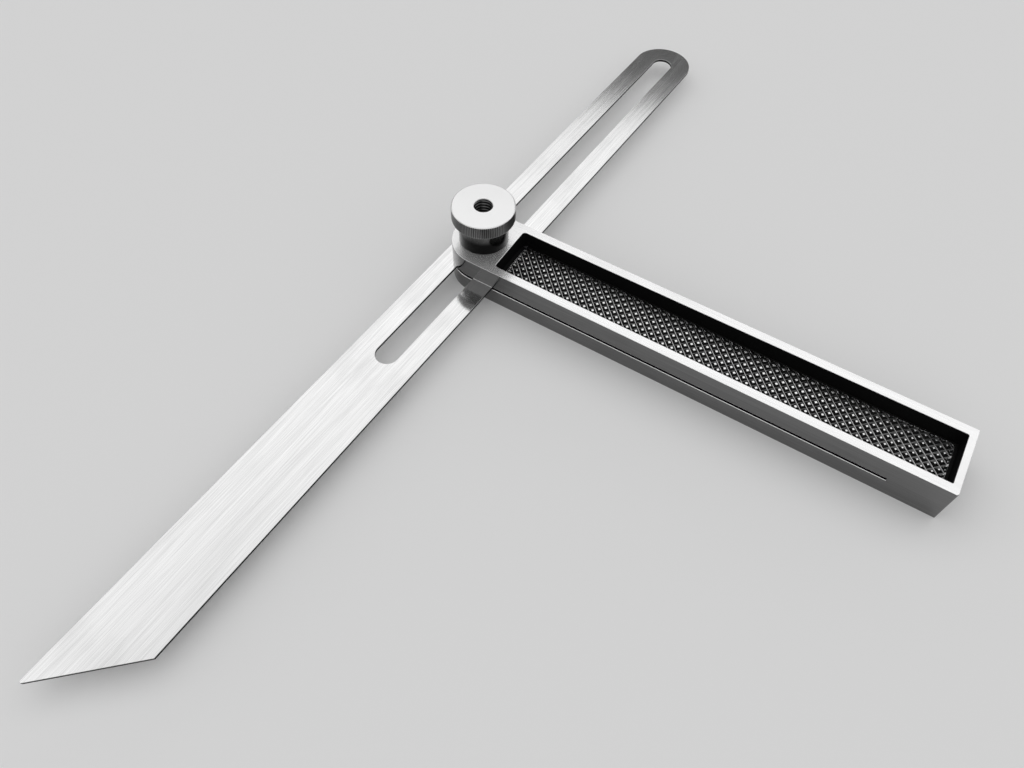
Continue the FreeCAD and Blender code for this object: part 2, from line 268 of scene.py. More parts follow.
@dataclass(frozen=True)
class BrushedSteel:
    """Bare steel, brushed one way, with handling marks and a few pits."""

    name: str
    dark: float = 0.74
    light: float = 0.86
    roughness: float = 0.15
    metallic: float = 1.0
    contrast: float = 1.5
    turn: float = 0.0
    fine_gauge: float = 0.22 * MM
    fine_length: float = 12 * MM
    broad_gauge: float = 1.1 * MM
    broad_length: float = 70 * MM
    broad_weight: float = 0.4
    smudge_size: float = 16 * MM
    smudge_reach: Pair = (0.48, 0.72)
    smudge_weight: float = 0.2
    pit_spacing: float = 11 * MM
    pit_size: float = 0.08 * MM
    pit_level: float = 0.35
    groove_depth: float = 0.006 * MM
    streak_swing: float = 0.04
    smudge_swing: float = 0.03

    def material(self) -> Material:
        """Build the finish.

        Returns:
            The material.
        """
        material, shading = new_material(self.name)
        fine = self._streaks(shading, self.fine_gauge, self.fine_length, detail=3.0)
        broad = self._streaks(shading, self.broad_gauge, self.broad_length, detail=1.0)
        marks = shading.cloud(self.smudge_size, 3.0, 0.55, self.turn)
        smudge = shading.rise(marks, self.smudge_reach)
        streaks = (fine - NOISE_MIDDLE) + (broad - NOISE_MIDDLE) * self.broad_weight
        level = 0.5 + streaks * self.contrast - smudge * self.smudge_weight
        bare = shading.mix(level, grey(self.dark), grey(self.light))
        colour = shading.mix(self._pits(shading), bare, grey(self.dark * self.pit_level))
        roughness = (self.roughness + (fine - NOISE_MIDDLE) * self.streak_swing
                     + smudge * self.smudge_swing)
        normal = shading.node("Bump", Height=fine, Strength=1.0, Distance=self.groove_depth)
        steel_shader(shading, colour, roughness, normal, self.metallic)
        return material

    def _streaks(self, shading: Shading, gauge: float, length: float, detail: float) -> Signal:
        """Noise drawn out along the brushing."""
        scale = (1 / length, 1 / gauge, 1 / gauge)
        return shading.noise(shading.scaled_place(scale, self.turn), detail, 0.6)

    def _pits(self, shading: Shading) -> Signal:
        """Small dark pits, one here and there."""
        cells = shading.node("TexVoronoi", output="Distance", Scale=1.0,
                             Vector=shading.scaled_place((1 / self.pit_spacing,) * 3))
        return shading.node("MapRange", Value=cells, To_Min=1.0, To_Max=0.0,
                            From_Min=self.pit_size / self.pit_spacing,
                            From_Max=2 * self.pit_size / self.pit_spacing)


@dataclass(frozen=True)
class TurnedSteel:
    """Bare steel faced on a lathe, with rings about the screw's axis.

    Painted shade can darken it with height, as in the corner at the foot of the boss, or with
    radius, as in the grooves of a knurl or of a thread.
    """

    name: str
    dark: float = 0.78
    light: float = 0.86
    roughness: float = 0.2
    ring_gauge: float = 0.22 * MM
    ring_depth: float = 0.003 * MM
    ring_weight: float = 0.6
    mottle_size: float = 2.5 * MM
    mottle_weight: float = 0.4
    mottle_swing: float = 0.08
    painted_shade_height: Pair | None = None
    painted_shade_radius: Pair | None = None
    painted_shade_level: float = 0.1

    def material(self) -> Material:
        """Build the finish.

        Returns:
            The material.
        """
        material, shading = new_material(self.name)
        place = shading.node("TexCoord", output="Object")
        across = shading.node("VectorMath", {"operation": "MULTIPLY"},
                              Vector=place, Vector_001=(1.0, 1.0, 0.0))
        radius = shading.node("VectorMath", {"operation": "LENGTH"}, "Value", Vector=across)
        height = shading.node("SeparateXYZ", output="Z", Vector=place)
        along = shading.node("CombineXYZ", X=radius / self.ring_gauge,
                             Y=height / self.ring_gauge)
        rings = shading.noise(along, 2.0, 0.5)
        mottle = shading.cloud(self.mottle_size, 3.0, 0.6)
        colour = shading.mix(rings * self.ring_weight + mottle * self.mottle_weight,
                             grey(self.dark), grey(self.light))
        # Painted shade: each reach given darkens the colour, by height or by radius.
        for reach, distance in ((self.painted_shade_height, height), (self.painted_shade_radius, radius)):
            if reach:
                colour = shading.mix(shading.rise(distance, reach), colour, grey(self.painted_shade_level))
        roughness = self.roughness + (mottle - NOISE_MIDDLE) * self.mottle_swing
        normal = shading.node("Bump", Height=rings, Strength=1.0, Distance=self.ring_depth)
        steel_shader(shading, colour, roughness, normal)
        return material


@dataclass(frozen=True)
class MottledSteel:
    """Steel mottled evenly, as black painted shade or bright steel, or with painted light growing
    along X.
    """

    name: str
    dark: float
    light: float
    roughness: float
    metallic: float = 1.0
    gloss: float = 0.5
    mottle_size: float = 0.7 * MM
    mottle_swing: float = 0.15
    grit: float = 0.004 * MM
    painted_light_along: Pair | None = None
    unlit_level: float = 0.008

    def material(self) -> Material:
        """Build the finish.

        Returns:
            The material.
        """
        material, shading = new_material(self.name)
        mottle = shading.cloud(self.mottle_size, 4.0, 0.65)
        colour = shading.mix(mottle, grey(self.dark), grey(self.light))
        # Painted light: fades in along X from the black level to the mottled colour.
        if self.painted_light_along:
            place = shading.node("TexCoord", output="Object")
            along = shading.node("SeparateXYZ", output="X", Vector=place)
            painted_light_share = shading.rise(along, self.painted_light_along)
            colour = shading.mix(painted_light_share, grey(self.unlit_level), colour)
        roughness = self.roughness + (mottle - NOISE_MIDDLE) * self.mottle_swing
        normal = shading.node("Bump", Height=mottle, Strength=1.0, Distance=self.grit)
        steel_shader(shading, colour, roughness, normal, self.metallic, self.gloss)
        return material


class Workpiece:
    """A piece being shaped with bmesh operators."""

    def __init__(self, name: str) -> None:
        """Start an empty piece."""
        self.name = name
        self.bm = bmesh.new()

    def outline(self, low: Pair, high: Pair, level: float,
                steps: int, radius: Callable[[Vector], float]) -> BMFace:
        """Lay a flat rectangle with round or square corners.

        Args:
            low: Lowest X and Y.
            high: Highest X and Y.
            level: Height.
            steps: Facets of each round corner.
            radius: A corner's radius, or nought where it is square.

        Returns:
            The new face.
        """
        others = set(self.bm.faces)
        middle = ((low[0] + high[0]) / 2, (low[1] + high[1]) / 2, level)
        spread = Matrix.Diagonal(((high[0] - low[0]) / 2, (high[1] - low[1]) / 2, 1, 1))
        made = bmesh.ops.create_grid(self.bm, x_segments=1, y_segments=1, size=1,
                                     matrix=Matrix.Translation(middle) @ spread)
        radii = {corner: radius(corner.co) for corner in made["verts"]}
        for size in sorted(set(radii.values()) - {0.0}):
            corners = [corner for corner, own in radii.items() if own == size]
            bmesh.ops.bevel(self.bm, geom=corners, offset=size, offset_type="OFFSET",
                            segments=steps, profile=0.5, affect="VERTICES", material=-1)
        verts = [vert for face in self._besides(others) for vert in face.verts]
        bmesh.ops.remove_doubles(self.bm, verts=verts, dist=TINY)
        return self._besides(others)[0]

    def _besides(self, others: set[BMFace]) -> list[BMFace]:
        """The faces made since the others."""
        return [face for face in self.bm.faces if face not in others]

    def opened(self, face: BMFace) -> list[BMEdge]:
        """Take a face away.

        Args:
            face: The face.

        Returns:
            Its edges.
        """
        edges = list(face.edges)
        bmesh.ops.delete(self.bm, geom=[face], context="FACES_ONLY")
        return edges

    def ring(self, radius: float, level: float, steps: int) -> list[BMEdge]:
        """A circle of edges about the screw's axis."""
        made = bmesh.ops.create_circle(self.bm, radius=radius, segments=steps,
                                       matrix=Matrix.Translation((0, 0, level)))
        return list(dict.fromkeys(edge for vert in made["verts"] for edge in vert.link_edges))

    def fill(self, edges: Iterable[BMEdge]) -> list[BMFace]:
        """Fill the plane between closed runs of edges, with as few faces as it takes.

        Args:
            edges: The edges.

        Returns:
            The new faces.
        """
        others = set(self.bm.faces)
        bmesh.ops.triangle_fill(self.bm, use_beauty=True, use_dissolve=False,
                                normal=(0, 0, 1), edges=list(edges))
        fresh = self._besides(others)
        inner = dict.fromkeys(
            edge for face in fresh for edge in face.edges
            if len(edge.link_faces) == 2 and all(link in fresh for link in edge.link_faces))
        bmesh.ops.dissolve_limit(self.bm, angle_limit=FLAT_ANGLE, verts=[],
                                 edges=list(inner), use_dissolve_boundaries=False)
        return self._besides(others)

    def bridge(self, edges: Iterable[BMEdge]) -> list[BMFace]:
        """Join two runs of edges with faces."""
        return bmesh.ops.bridge_loops(self.bm, edges=list(edges))["faces"]

    def lift(self, faces: Iterable[BMFace], rise: float) -> list[BMFace]:
        """Extrude faces upwards, or downwards by a negative rise.

        A region that stands alone keeps its first faces as its underside.

        Args:
            faces: The faces to extrude.
            rise: How far they go.

        Returns:
            The moved faces.
        """
        region = list(faces)
        joined = any(link not in region for face in region for edge in face.edges
                     for link in edge.link_faces)
        made = bmesh.ops.extrude_face_region(self.bm, geom=region)["geom"]
        verts = [item for item in made if isinstance(item, BMVert)]
        bmesh.ops.translate(self.bm, vec=(0, 0, rise), verts=verts)
        if joined:
            bmesh.ops.delete(self.bm, geom=region, context="FACES")
        return [item for item in made if isinstance(item, BMFace)]

    def slice(self, place: Vector, normal: Vector, drop: bool = False) -> None:
        """Cut along a plane.

        Args:
            place: A point of the plane.
            normal: The plane's normal.
            drop: Whether what lies past the plane goes.
        """
        everything = [*self.bm.faces, *self.bm.edges, *self.bm.verts]
        bmesh.ops.bisect_plane(self.bm, geom=everything, dist=TINY,
                               plane_co=place, plane_no=normal, clear_outer=drop)

    def ease(self, size: float, chosen: Callable[[Vector, Vector], bool]) -> None:
        """Round the edges whose two ends a test accepts.

        Args:
            size: Width cut from each face beside the edge.
            chosen: The test on an edge's two ends.
        """
        edges = [edge for edge in self.bm.edges
                 if not edge.is_boundary and edge.calc_face_angle(0.0) > SHARP_ANGLE
                 and chosen(edge.verts[0].co, edge.verts[1].co)]
        bmesh.ops.bevel(self.bm, geom=edges, offset=size, offset_type="OFFSET",
                        segments=EASE_STEPS, profile=0.5, affect="EDGES", material=-1,
                        clamp_overlap=True)

    def paint(self, index: int, chosen: Callable[[BMFace], bool]) -> None:
        """Give faces another finish.

        Args:
            index: The finish.
            chosen: The test on a face.
        """
        self.bm.normal_update()
        for face in self.bm.faces:
            if chosen(face):
                face.material_index = index

    def move(self, matrix: Matrix) -> None:
        """Turn or move the whole piece."""
        bmesh.ops.transform(self.bm, matrix=matrix, verts=self.bm.verts)

    def finish(self, body: str, slot: str, node: str, finishes: Sequence[Material]) -> None:
        """Turn the piece into an object that rides on its body in place of its node.

        Args:
            body: The body that it rides on.
            slot: The record's material slot name; not used.
            node: The frame node that it stands for.
            finishes: Materials by face index.
        """
        bmesh.ops.recalc_face_normals(self.bm, faces=self.bm.faces)
        for face in self.bm.faces:
            face.smooth = True
        for edge in self.bm.edges:
            edge.smooth = (edge.calc_face_angle(0.0) < SHARP_ANGLE
                           and not self._bounds_flat(edge))
        mesh = bpy.data.meshes.new(self.name)
        self.bm.to_mesh(mesh)
        open_edges = sum(edge.is_boundary or edge.is_wire for edge in self.bm.edges)
        self.bm.free()
        for material in finishes:
            mesh.materials.append(material)
        piece = bpy.data.objects.new(self.name, mesh)
        bpy.context.scene.collection.objects.link(piece)
        flats = piece.modifiers.new("level_flats", "WEIGHTED_NORMAL")
        flats.mode = "FACE_AREA"
        flats.weight = FLAT_WEIGHT
        flats.keep_sharp = True
        flats.thresh = SAME_AREA
        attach(piece, body)
        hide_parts(node)
        LOG.info("%s: %d faces, %d open edges", self.name, len(mesh.polygons), open_edges)

    @staticmethod
    def _bounds_flat(edge: BMEdge) -> bool:
        """Whether an edge parts a level face from one that isn't level."""
        level = {abs(face.normal.z) > LEVEL for face in edge.link_faces}
        return len(level) == 2


class Jaw(Enum):
    """The two halves of the stock."""

    UPPER = "upper_jaw"
    LOWER = "lower_jaw"


class JawFinish(IntEnum):
    """The finishes of a jaw's faces."""

    FACE = 0
    # Painted shade: black on the slit's faces and the recess's walls and floor.
    PAINTED_SHADE = 1
    # Painted shade: a darker copy of the jaw's steel on the outer sides.
    SIDE = 2


@dataclass
class Stock:
    """The upper and lower jaws, joined beyond the end of the slit."""

    finishes: Sequence[Material]
    slit_height: float = 0.9 * MM
    solid_end: float = 13.7 * MM
    recess_start: float = 8.3 * MM
    side_wall: float = 2.5 * MM
    end_wall: float = 1.8 * MM
    upper_web: float = 0.95 * MM
    lower_web: float = 0.5 * MM
    recess_corner: float = 0.8 * MM
    far_corner: float = 0.35 * MM
    shank_bore: float = 6.16 * MM
    shoulder_bore: float = 8.16 * MM
    seat_bore: float = 12.3 * MM
    seat_depth: float = 2.0 * MM
    outer_edge: float = 0.35 * MM
    rim_edge: float = 0.1 * MM
    slit_edge: float = 0.12 * MM
    arc_steps: int = 40
    corner_steps: int = 6
    bore_steps: int = 72

    def __post_init__(self) -> None:
        """Read the jaws' outer sizes from the frame."""
        self.low, lower_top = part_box(Jaw.LOWER.value)
        self.split = lower_top.z
        self.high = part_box(Jaw.UPPER.value)[1]
        self.half = self.high.y
        self.slit_end = self.high.x - self.solid_end
        self.round_centre = self.low.x + self.half
        self.recess_end = self.high.x - self.end_wall
        self.recess_half = self.half - self.side_wall

    def _plan(self, piece: Workpiece, level: float, bore: float) -> None:
        """Lay the plan of a jaw, cut across at the slit's end.

        Args:
            piece: The piece to lay it in.
            level: Its height.
            bore: Diameter of the hole on the screw's axis.
        """
        outer = piece.opened(piece.outline(
            (self.low.x, self.low.y), (self.high.x, self.high.y), level, self.arc_steps,
            lambda corner: self.half if corner.x < 0 else 0.0))
        recess = piece.outline(
            (self.recess_start, -self.recess_half), (self.recess_end, self.recess_half),
            level, self.corner_steps,
            lambda corner: self.far_corner if corner.x > self.slit_end else self.recess_corner)
        hole = piece.ring(bore / 2, level, self.bore_steps)
        piece.fill([*outer, *recess.edges, *hole])
        piece.slice(Vector((self.slit_end, 0, level)), Vector((1, 0, 0)))

    def _in_recess(self, faces: Iterable[BMFace]) -> list[BMFace]:
        """The faces inside the recess's outline, less the strips along its sides."""
        return [face for face in faces
                if all(self._over_recess(vert.co) for vert in face.verts)
                and abs(face.calc_center_median().y) < self.recess_half - TINY]

    def _over_recess(self, spot: Vector) -> bool:
        """Whether a point lies within the recess's outline."""
        return (abs(spot.y) < self.recess_half + TINY
                and self.recess_start - TINY < spot.x < self.recess_end + TINY)

    @staticmethod
    def _level_faces(piece: Workpiece, level: float) -> list[BMFace]:
        """The flat faces at a height."""
        return [face for face in piece.bm.faces
                if at_height(level, *(vert.co for vert in face.verts))]

    def _on_outline(self, *spots: Vector) -> bool:
        """Whether points all lie on the stock's outer sides."""
        return all(math.hypot(min(0, spot.x - self.round_centre), spot.y) > self.half - SLACK
                   or spot.x > self.high.x - SLACK for spot in spots)

    def _break_edges(self, piece: Workpiece, outer: float, inner: float) -> None:
        """Chamfer a jaw's edges.

        Args:
            piece: The jaw.
            outer: Height of its outer face.
            inner: Height of its face in the slit.
        """
        def square_corner(a: Vector, b: Vector) -> bool:
            """Whether an edge is an upright corner of the square end."""
            upright = abs(a.x - b.x) < TINY and abs(a.y - b.y) < TINY
            return upright and a.x > self.high.x - TINY and self._on_outline(a, b)

        def recess_rim(a: Vector, b: Vector) -> bool:
            """Whether an edge lies round the recess's mouth."""
            return self._over_recess(a) and self._over_recess(b) and at_height(outer, a, b)

        def slit_edge(a: Vector, b: Vector) -> bool:
            """Whether an edge lies along the slit."""
            short = max(a.x, b.x) < self.slit_end + TINY
            return short and at_height(inner, a, b) and self._on_outline(a, b)

        def in_slit(face: BMFace) -> bool:
            """Whether a face lies in the slit."""
            middle = face.calc_center_median()
            return at_height(inner, middle) and middle.x < self.slit_end

        # Painted shade: the outer sides take a darker copy of the brushed steel.
        piece.paint(JawFinish.SIDE, lambda face: abs(face.normal.z) < STEEP
                    and self._on_outline(*(vert.co for vert in face.verts)))
        # Painted shade: the faces inside the slit are painted black.
        piece.paint(JawFinish.PAINTED_SHADE, in_slit)
        piece.ease(self.outer_edge, square_corner)
        piece.ease(self.outer_edge, lambda a, b: at_height(outer, a, b)
                   and self._on_outline(a, b))
        piece.ease(self.rim_edge, recess_rim)
        piece.ease(self.slit_edge, slit_edge)
        piece.paint(JawFinish.FACE, lambda face: SLANT[0] < abs(face.normal.z) < SLANT[1])

    def _paint_recess_shade(self, piece: Workpiece, floor: float, outer: float) -> None:
        """Paint the recess's walls and floor black, as painted shade.

        Args:
            piece: The jaw.
            floor: Height of the recess's floor.
            outer: Height of the jaw's outer face.
        """
        low, high = sorted((floor, outer))

        def inside(face: BMFace) -> bool:
            """Whether a face is one of them."""
            middle = face.calc_center_median()
            return (self._over_recess(middle) and low - TINY < middle.z < high + TINY
                    and abs(middle.z - outer) > self.rim_edge)
        piece.paint(JawFinish.PAINTED_SHADE, inside)

    def upper(self) -> None:
        """Build the upper jaw, stepped down beyond the slit's end."""
        piece = Workpiece("upper_half")
        roof = self.split + self.slit_height
        self._plan(piece, roof, self.shank_bore)
        under = list(piece.bm.faces)
        top = piece.lift(under, self.high.z - roof)
        piece.lift(self._in_recess(top), roof + self.upper_web - self.high.z)
        beyond = [face for face in self._level_faces(piece, roof)
                  if face.calc_center_median().x > self.slit_end]
        piece.lift(beyond, -self.slit_height)
        self._break_edges(piece, self.high.z, roof)
        self._paint_recess_shade(piece, roof + self.upper_web, self.high.z)
        piece.finish("stock", "upper_jaw_steel", Jaw.UPPER.value, self.finishes)

    def lower(self) -> None:
        """Build the lower jaw, with the seat of the screw's head."""
        piece = Workpiece("lower_half")
        base = self.low.z
        self._plan(piece, base, self.seat_bore)
        raised = piece.lift(list(piece.bm.faces), self.seat_depth)
        seat = base + self.seat_depth
        hole = piece.ring(self.shoulder_bore / 2, seat, self.bore_steps)
        ring = piece.bridge([*self._circle(piece, self.seat_bore, seat), *hole])
        piece.lift([*raised, *ring], self.split - seat)
        piece.bridge([*self._circle(piece, self.seat_bore, seat),
                      *self._circle(piece, self.shoulder_bore, seat)])
        recess = self._in_recess(self._level_faces(piece, base))
        piece.lift(recess, self.split - self.lower_web - base)
        self._break_edges(piece, base, self.split)
        self._paint_recess_shade(piece, self.split - self.lower_web, base)
        piece.finish("stock", "lower_jaw_steel", Jaw.LOWER.value, self.finishes)

    @staticmethod
    def _circle(piece: Workpiece, diameter: float, level: float) -> list[BMEdge]:
        """The edges along a circle about the screw's axis at a height."""
        return [edge for edge in piece.bm.edges
                if all(at_height(level, vert.co)
                       and abs(vert.co.xy.length - diameter / 2) < TINY
                       for vert in edge.verts)]


class GripFinish(IntEnum):
    """The finishes of a grip inlay's faces."""

    # Painted shade: black on the knurl's flanks and on the plain border.
    PAINTED_SHADE = 0
    TIP = 1
    GROOVE = 2
    # Painted shade: a darker copy of the groove finish for one diagonal family.
    PAINTED_SHADE_CROSS_GROOVE = 3
    # Painted light on the far-facing flanks towards the far end.
    PAINTED_LIGHT_FLANK = 4


class Facing(Enum):
    """The way that a grip inlay's knurl points."""

    UP = "top_grip_inlay"
    DOWN = "bottom_grip_inlay"


@dataclass
class GripInlay:
    """A plate with a field of diamond knurl inside a plain border."""

    finishes: Sequence[Material]
    base: float = 0.15 * MM
    side_border: float = 0.5 * MM
    near_border: float = 1.2 * MM
    far_border: float = 0.8 * MM
    corner: float = 0.7 * MM
    far_corner: float = 0.25 * MM
    corner_steps: int = 5
    pitch: float = 1.814 * MM
    crossing: Pair = (69.8 * MM, 0.385 * MM)
    groove: float = 0.12 * MM
    tip: float = 0.62 * MM
    small_tip: float = 0.42 * MM
    near_rows: Pair = (11 * MM, 20 * MM)
    far_rows: Pair = (94 * MM, 120 * MM)
    tip_break: float = 0.07 * MM
    tip_drop: float = 0.05 * MM
    cut_share: float = 0.85
    least_share: float = 0.12

    def build(self, facing: Facing) -> None:
        """Build one inlay.

        Args:
            facing: Which recess it lies in.
        """
        low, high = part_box(facing.value)
        height = high.z - low.z
        piece = Workpiece(facing.value.replace("_inlay", ""))
        cells = self._cells(piece, low, high)
        edge = [edge for edge in piece.bm.edges if edge.is_boundary]
        border = piece.opened(piece.outline(
            (low.x, low.y), (high.x, high.y), self.base, self.corner_steps,
            lambda corner: self.corner if corner.x < self.crossing[0] else self.far_corner))
        # The border's faces keep finish 0, the black painted shade.
        piece.fill([*edge, *border])
        self._raise_teeth(piece, cells, height - self.base)
        self._back(piece)
        if facing is Facing.UP:
            piece.move(Matrix.Translation((0, 0, low.z)))
        else:
            over = Matrix.Rotation(math.pi, 4, "X")
            piece.move(Matrix.Translation((0, 0, high.z)) @ over)
        piece.finish("stock", "grip_plate", facing.value, self.finishes)

    def _cells(self, piece: Workpiece, low: Vector, high: Vector) -> list[BMFace]:
        """Lay a slanted grid, cut off at the plain border.

        Args:
            piece: The inlay.
            low: Its box's lowest corner.
            high: Its box's highest corner.

        Returns:
            The grid's cells.
        """
        start = Vector((low.x + self.near_border, low.y + self.side_border, 0))
        end = Vector((high.x - self.far_border, high.y - self.side_border, 0))
        reach = (end - start).length
        count = 2 * math.ceil(reach / self.pitch / math.sqrt(2))
        place = Matrix.Translation((*self.crossing, self.base))
        bmesh.ops.create_grid(piece.bm, x_segments=count, y_segments=count,
                              size=count * self.pitch / 2,
                              matrix=place @ Matrix.Rotation(math.pi / 4, 4, "Z"))
        for corner, side in ((start, -1), (end, 1)):
            for axis in (Vector((side, 0, 0)), Vector((0, side, 0))):
                piece.slice(corner, axis, drop=True)
        return list(piece.bm.faces)

    def _raise_teeth(self, piece: Workpiece, cells: list[BMFace], height: float) -> None:
        """Raise a blunt pyramid on each cell, lower where the border cuts the cell.

        Args:
            piece: The inlay.
            cells: The grid's cells.
            height: How far a whole tooth stands above its grooves.
        """
        whole = self.pitch / 2
        far_end = max(vert.co.x for cell in cells for vert in cell.verts)
        for cell in cells:
            place = cell.calc_center_median().x
            run = whole - (self.groove + self._tip_at(place)) / 2
            at_end = any(vert.co.x > far_end - TINY for vert in cell.verts)
            perimeter = sum(edge.calc_length() for edge in cell.edges)
            room = min(whole, 2 * cell.calc_area() / perimeter)
            share = (room - self.groove / 2) / (whole - self.groove / 2)
            if room < whole - TINY:
                share *= self.cut_share
            if share < self.least_share:
                cell.material_index = GripFinish.TIP if at_end else GripFinish.GROOVE
                continue
            rings = (
                (self.groove / 2, 0.0, GripFinish.GROOVE),
                # Flanks: black painted shade.
                (run * share, (height - self.tip_drop) * share, GripFinish.PAINTED_SHADE),
                (self.tip_break * share, self.tip_drop * share, GripFinish.TIP),
            )
            for width, rise, finish in rings:
                made = bmesh.ops.inset_individual(piece.bm, faces=[cell], thickness=width,
                                                  depth=rise, use_even_offset=True)
                for face in made["faces"]:
                    face.material_index = finish
                    away = face.calc_center_median() - cell.calc_center_median()
                    # Painted shade: grooves of one diagonal family take a darker copy of the
                    # groove finish.
                    if finish is GripFinish.GROOVE and away.x * away.y < 0:
                        face.material_index = GripFinish.PAINTED_SHADE_CROSS_GROOVE
                    # Painted light: flanks facing +Y, the light's side, turn grey towards the far
                    # end.
                    if finish is GripFinish.PAINTED_SHADE and away.y > 0:
                        face.material_index = GripFinish.PAINTED_LIGHT_FLANK
            cell.material_index = GripFinish.TIP

    def _tip_at(self, place: float) -> float:
        """Width of the tip of a tooth at some X, less towards both ends of the plate."""
        shares = [(place - start) / (full - start)
                  for start, full in (self.near_rows, self.far_rows[::-1])]
        return self.small_tip + (self.tip - self.small_tip) * min(1.0, max(0.0, min(shares)))

    def _back(self, piece: Workpiece) -> None:
        """Give the plate its edge and its back.

        Args:
            piece: The inlay, a sheet so far.
        """
        rim = [edge for edge in piece.bm.edges if edge.is_boundary]
        made = bmesh.ops.extrude_edge_only(piece.bm, edges=rim)["geom"]
        verts = [item for item in made if isinstance(item, BMVert)]
        bmesh.ops.translate(piece.bm, vec=(0, 0, -self.base), verts=verts)
        bmesh.ops.holes_fill(piece.bm, sides=0,
                             edges=[item for item in made if isinstance(item, BMEdge)])


class BladeFinish(IntEnum):
    """The finishes of the blade's faces."""

    FACE = 0
    # Painted shade on the blade's upright walls.
    EDGE = 1


@dataclass
class Blade:
    """The slotted blade, drawn along +X and turned to its rest direction."""

    finishes: Sequence[Material]
    length: float = 264.3 * MM
    width: float = 18.6 * MM
    reach: float = 147.5 * MM
    tip_angle: float = math.radians(45)
    tip_radius: float = 0.5 * MM
    turn: float = math.radians(-92.1)
    slot_width: float = 6.4 * MM
    slot_margin: float = 6.4 * MM
    solid_length: float = 101.1 * MM
    edge_break: float = 0.07 * MM
    arc_steps: int = 24
    tip_steps: int = 5

    def build(self) -> None:
        """Build the blade."""
        low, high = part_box("blade")
        piece = Workpiece("blade_sheet")
        half = self.width / 2
        tail = self.reach - self.length
        sheet = piece.outline((tail, -half), (self.reach, half), low.z, self.arc_steps,
                              lambda corner: half if corner.x < 0 else 0.0)
        outer = piece.opened(self._cut_tip(piece, sheet))
        slot = piece.opened(piece.outline(
            (tail + self.slot_margin, -self.slot_width / 2),
            (self.reach - self.solid_length, self.slot_width / 2),
            low.z, self.arc_steps, lambda corner: self.slot_width / 2))
        piece.fill([*outer, *slot])
        piece.lift(list(piece.bm.faces), high.z - low.z)
        piece.ease(self.edge_break, lambda a, b: abs(a.z - b.z) < TINY)
        # Painted shade: the blade's upright walls are painted near black.
        piece.paint(BladeFinish.EDGE, lambda face: abs(face.normal.z) < STEEP)
        piece.move(Matrix.Rotation(self.turn, 4, "Z"))
        piece.finish("blade", "blade_steel", "blade", self.finishes)

    def _cut_tip(self, piece: Workpiece, sheet: BMFace) -> BMFace:
        """Cut the tip on the slant and blunt its point.

        Args:
            piece: The blade.
            sheet: Its plan, square at the tip's end.

        Returns:
            The plan with its tip cut.
        """
        ends = [vert for vert in sheet.verts if vert.co.x > self.reach - TINY]
        upper = max(ends, key=lambda vert: vert.co.y)
        point = min(ends, key=lambda vert: vert.co.y)
        upper.co.x -= self.width / math.tan(self.tip_angle)
        run = self.tip_radius / math.tan(self.tip_angle / 2)
        bmesh.ops.bevel(piece.bm, geom=[point], offset=run, offset_type="OFFSET",
                        segments=self.tip_steps, profile=0.5, affect="VERTICES",
                        material=-1)
        return next(iter(piece.bm.faces))


class NutFinish(IntEnum):
    """The finishes of the nut's faces."""

    FACED = 0
    # Painted shade on the knurled rim.
    PAINTED_SHADE_KNURL = 1
    # Painted dark reflection and painted shade on the boss.
    PAINTED_SHADE_BOSS = 2
    # Painted shade in the tapped hole.
    PAINTED_SHADE_HOLE = 3


